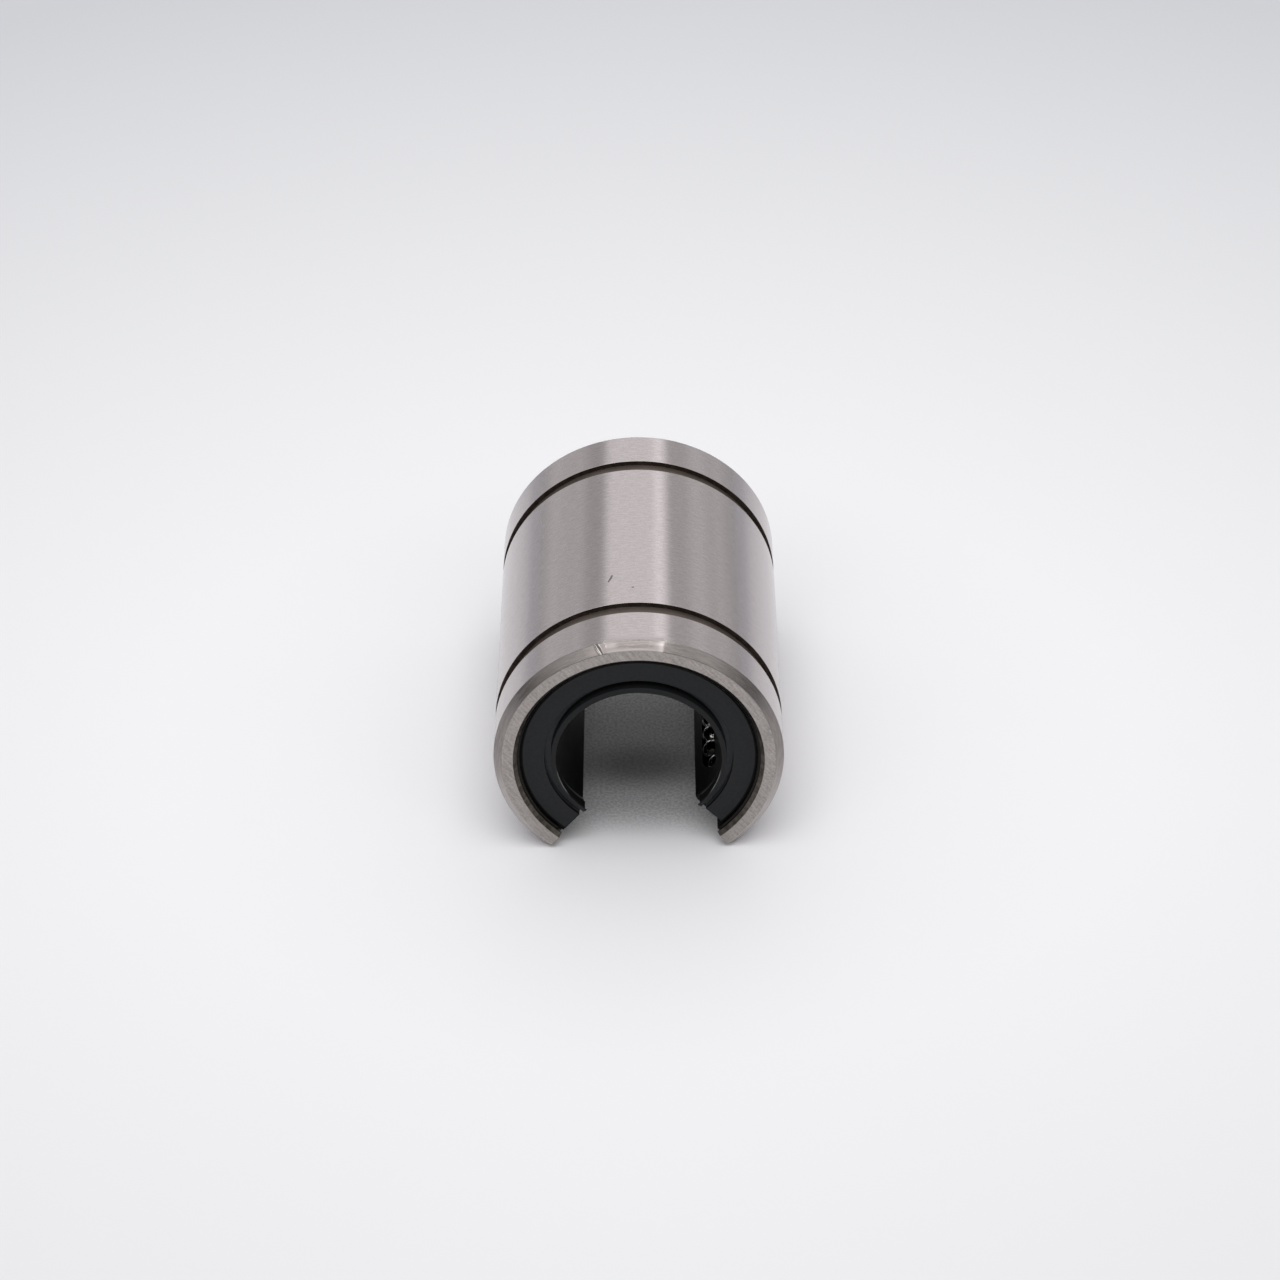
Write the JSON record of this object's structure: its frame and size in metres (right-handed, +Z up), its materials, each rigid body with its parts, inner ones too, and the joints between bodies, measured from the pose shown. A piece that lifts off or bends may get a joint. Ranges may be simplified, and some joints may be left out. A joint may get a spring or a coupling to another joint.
{
  "type": "open-type linear ball bearing",
  "caption": "Open, C-shaped linear ball bearing: ground steel sleeve with outer ring grooves, resin cage, recirculating balls and rubber end seals, for a round shaft carried on a rail.",
  "frame": {"origin": "on the bore axis, halfway along the sleeve", "axes": "+Y along the bore from the front end to the rear, +Z up away from the opening, +X to the right seen from the front"},
  "size_m": [0.028, 0.037, 0.0245],
  "materials": {
    "ground_steel": "ground bearing steel, satin",
    "cage_resin": "moulded black resin",
    "seal_rubber": "matt black rubber",
    "spring_steel": "dark spring steel",
    "ball_steel": "polished bearing steel"
  },
  "bodies": {
    "housing": {"outer_sleeve": "ground_steel", "ball_retainer": "cage_resin", "front_seal": "seal_rubber", "rear_seal": "seal_rubber", "front_retaining_ring": "spring_steel", "rear_retaining_ring": "spring_steel"},
    "top_load_row": {"top_load_ball_1": "ball_steel", "top_load_ball_2": "ball_steel", "top_load_ball_3": "ball_steel", "top_load_ball_4": "ball_steel", "top_load_ball_5": "ball_steel", "top_load_ball_6": "ball_steel", "top_load_ball_7": "ball_steel", "top_load_ball_8": "ball_steel", "top_load_ball_9": "ball_steel"},
    "top_return_row": {"top_return_balls": "ball_steel"},
    "top_front_turn_row": {"top_front_turn_balls": "ball_steel"},
    "top_rear_turn_row": {"top_rear_turn_balls": "ball_steel"},
    "left_load_row": {"left_load_ball_1": "ball_steel", "left_load_ball_2": "ball_steel", "left_load_ball_3": "ball_steel", "left_load_ball_4": "ball_steel", "left_load_ball_5": "ball_steel", "left_load_ball_6": "ball_steel", "left_load_ball_7": "ball_steel", "left_load_ball_8": "ball_steel", "left_load_ball_9": "ball_steel"},
    "left_return_row": {"left_return_balls": "ball_steel"},
    "left_front_turn_row": {"left_front_turn_balls": "ball_steel"},
    "left_rear_turn_row": {"left_rear_turn_balls": "ball_steel"},
    "right_load_row": {"right_load_ball_1": "ball_steel", "right_load_ball_2": "ball_steel", "right_load_ball_3": "ball_steel", "right_load_ball_4": "ball_steel", "right_load_ball_5": "ball_steel", "right_load_ball_6": "ball_steel", "right_load_ball_7": "ball_steel", "right_load_ball_8": "ball_steel", "right_load_ball_9": "ball_steel"},
    "right_return_row": {"right_return_balls": "ball_steel"},
    "right_front_turn_row": {"right_front_turn_balls": "ball_steel"},
    "right_rear_turn_row": {"right_rear_turn_balls": "ball_steel"}
  },
  "joints": [
    {"name": "top_load_row_slide", "type": "slide", "parent": "housing", "child": "top_load_row", "axis": [0, 1, 0], "range_m": [-0.0012, 0.0012]},
    {"name": "top_return_row_slide", "type": "slide", "parent": "housing", "child": "top_return_row", "axis": [0, -1, 0], "range_m": [-0.00123, 0.00123]},
    {"name": "top_front_turn_swing", "type": "hinge", "parent": "housing", "child": "top_front_turn_row", "pos_m": [-0.00011, -0.01103, 0.00932], "axis": [0.1662, 0.2924, 0.9418], "range_deg": [-30, 30]},
    {"name": "top_rear_turn_swing", "type": "hinge", "parent": "housing", "child": "top_rear_turn_row", "pos_m": [-0.00011, 0.01103, 0.00932], "axis": [0.1662, -0.2924, 0.9418], "range_deg": [-30, 30]},
    {"name": "left_load_row_slide", "type": "slide", "parent": "housing", "child": "left_load_row", "axis": [0, 1, 0], "range_m": [-0.0012, 0.0012]},
    {"name": "left_return_row_slide", "type": "slide", "parent": "housing", "child": "left_return_row", "axis": [0, -1, 0], "range_m": [-0.00123, 0.00123]},
    {"name": "left_front_turn_swing", "type": "hinge", "parent": "housing", "child": "left_front_turn_row", "pos_m": [-0.00866, -0.01103, -0.00344], "axis": [-0.9388, 0.2924, -0.1824], "range_deg": [-30, 30]},
    {"name": "left_rear_turn_swing", "type": "hinge", "parent": "housing", "child": "left_rear_turn_row", "pos_m": [-0.00866, 0.01103, -0.00344], "axis": [-0.9388, -0.2924, -0.1824], "range_deg": [-30, 30]},
    {"name": "right_load_row_slide", "type": "slide", "parent": "housing", "child": "right_load_row", "axis": [0, 1, 0], "range_m": [-0.0012, 0.0012]},
    {"name": "right_return_row_slide", "type": "slide", "parent": "housing", "child": "right_return_row", "axis": [0, -1, 0], "range_m": [-0.00123, 0.00123]},
    {"name": "right_front_turn_swing", "type": "hinge", "parent": "housing", "child": "right_front_turn_row", "pos_m": [0.00874, -0.01103, -0.00324], "axis": [0.8197, 0.2924, -0.4926], "range_deg": [-30, 30]},
    {"name": "right_rear_turn_swing", "type": "hinge", "parent": "housing", "child": "right_rear_turn_row", "pos_m": [0.00874, 0.01103, -0.00324], "axis": [0.8197, -0.2924, -0.4926], "range_deg": [-30, 30]}
  ],
  "couplings": [
    {"joint": "top_return_row_slide", "follows": "top_load_row_slide", "ratio": 1},
    {"joint": "top_front_turn_swing", "follows": "top_load_row_slide", "rad_per_m": 427.21},
    {"joint": "top_rear_turn_swing", "follows": "top_load_row_slide", "rad_per_m": 427.21},
    {"joint": "left_return_row_slide", "follows": "left_load_row_slide", "ratio": 1},
    {"joint": "left_front_turn_swing", "follows": "left_load_row_slide", "rad_per_m": 427.21},
    {"joint": "left_rear_turn_swing", "follows": "left_load_row_slide", "rad_per_m": 427.21},
    {"joint": "right_return_row_slide", "follows": "right_load_row_slide", "ratio": 1},
    {"joint": "right_front_turn_swing", "follows": "right_load_row_slide", "rad_per_m": 427.21},
    {"joint": "right_rear_turn_swing", "follows": "right_load_row_slide", "rad_per_m": 427.21}
  ]
}
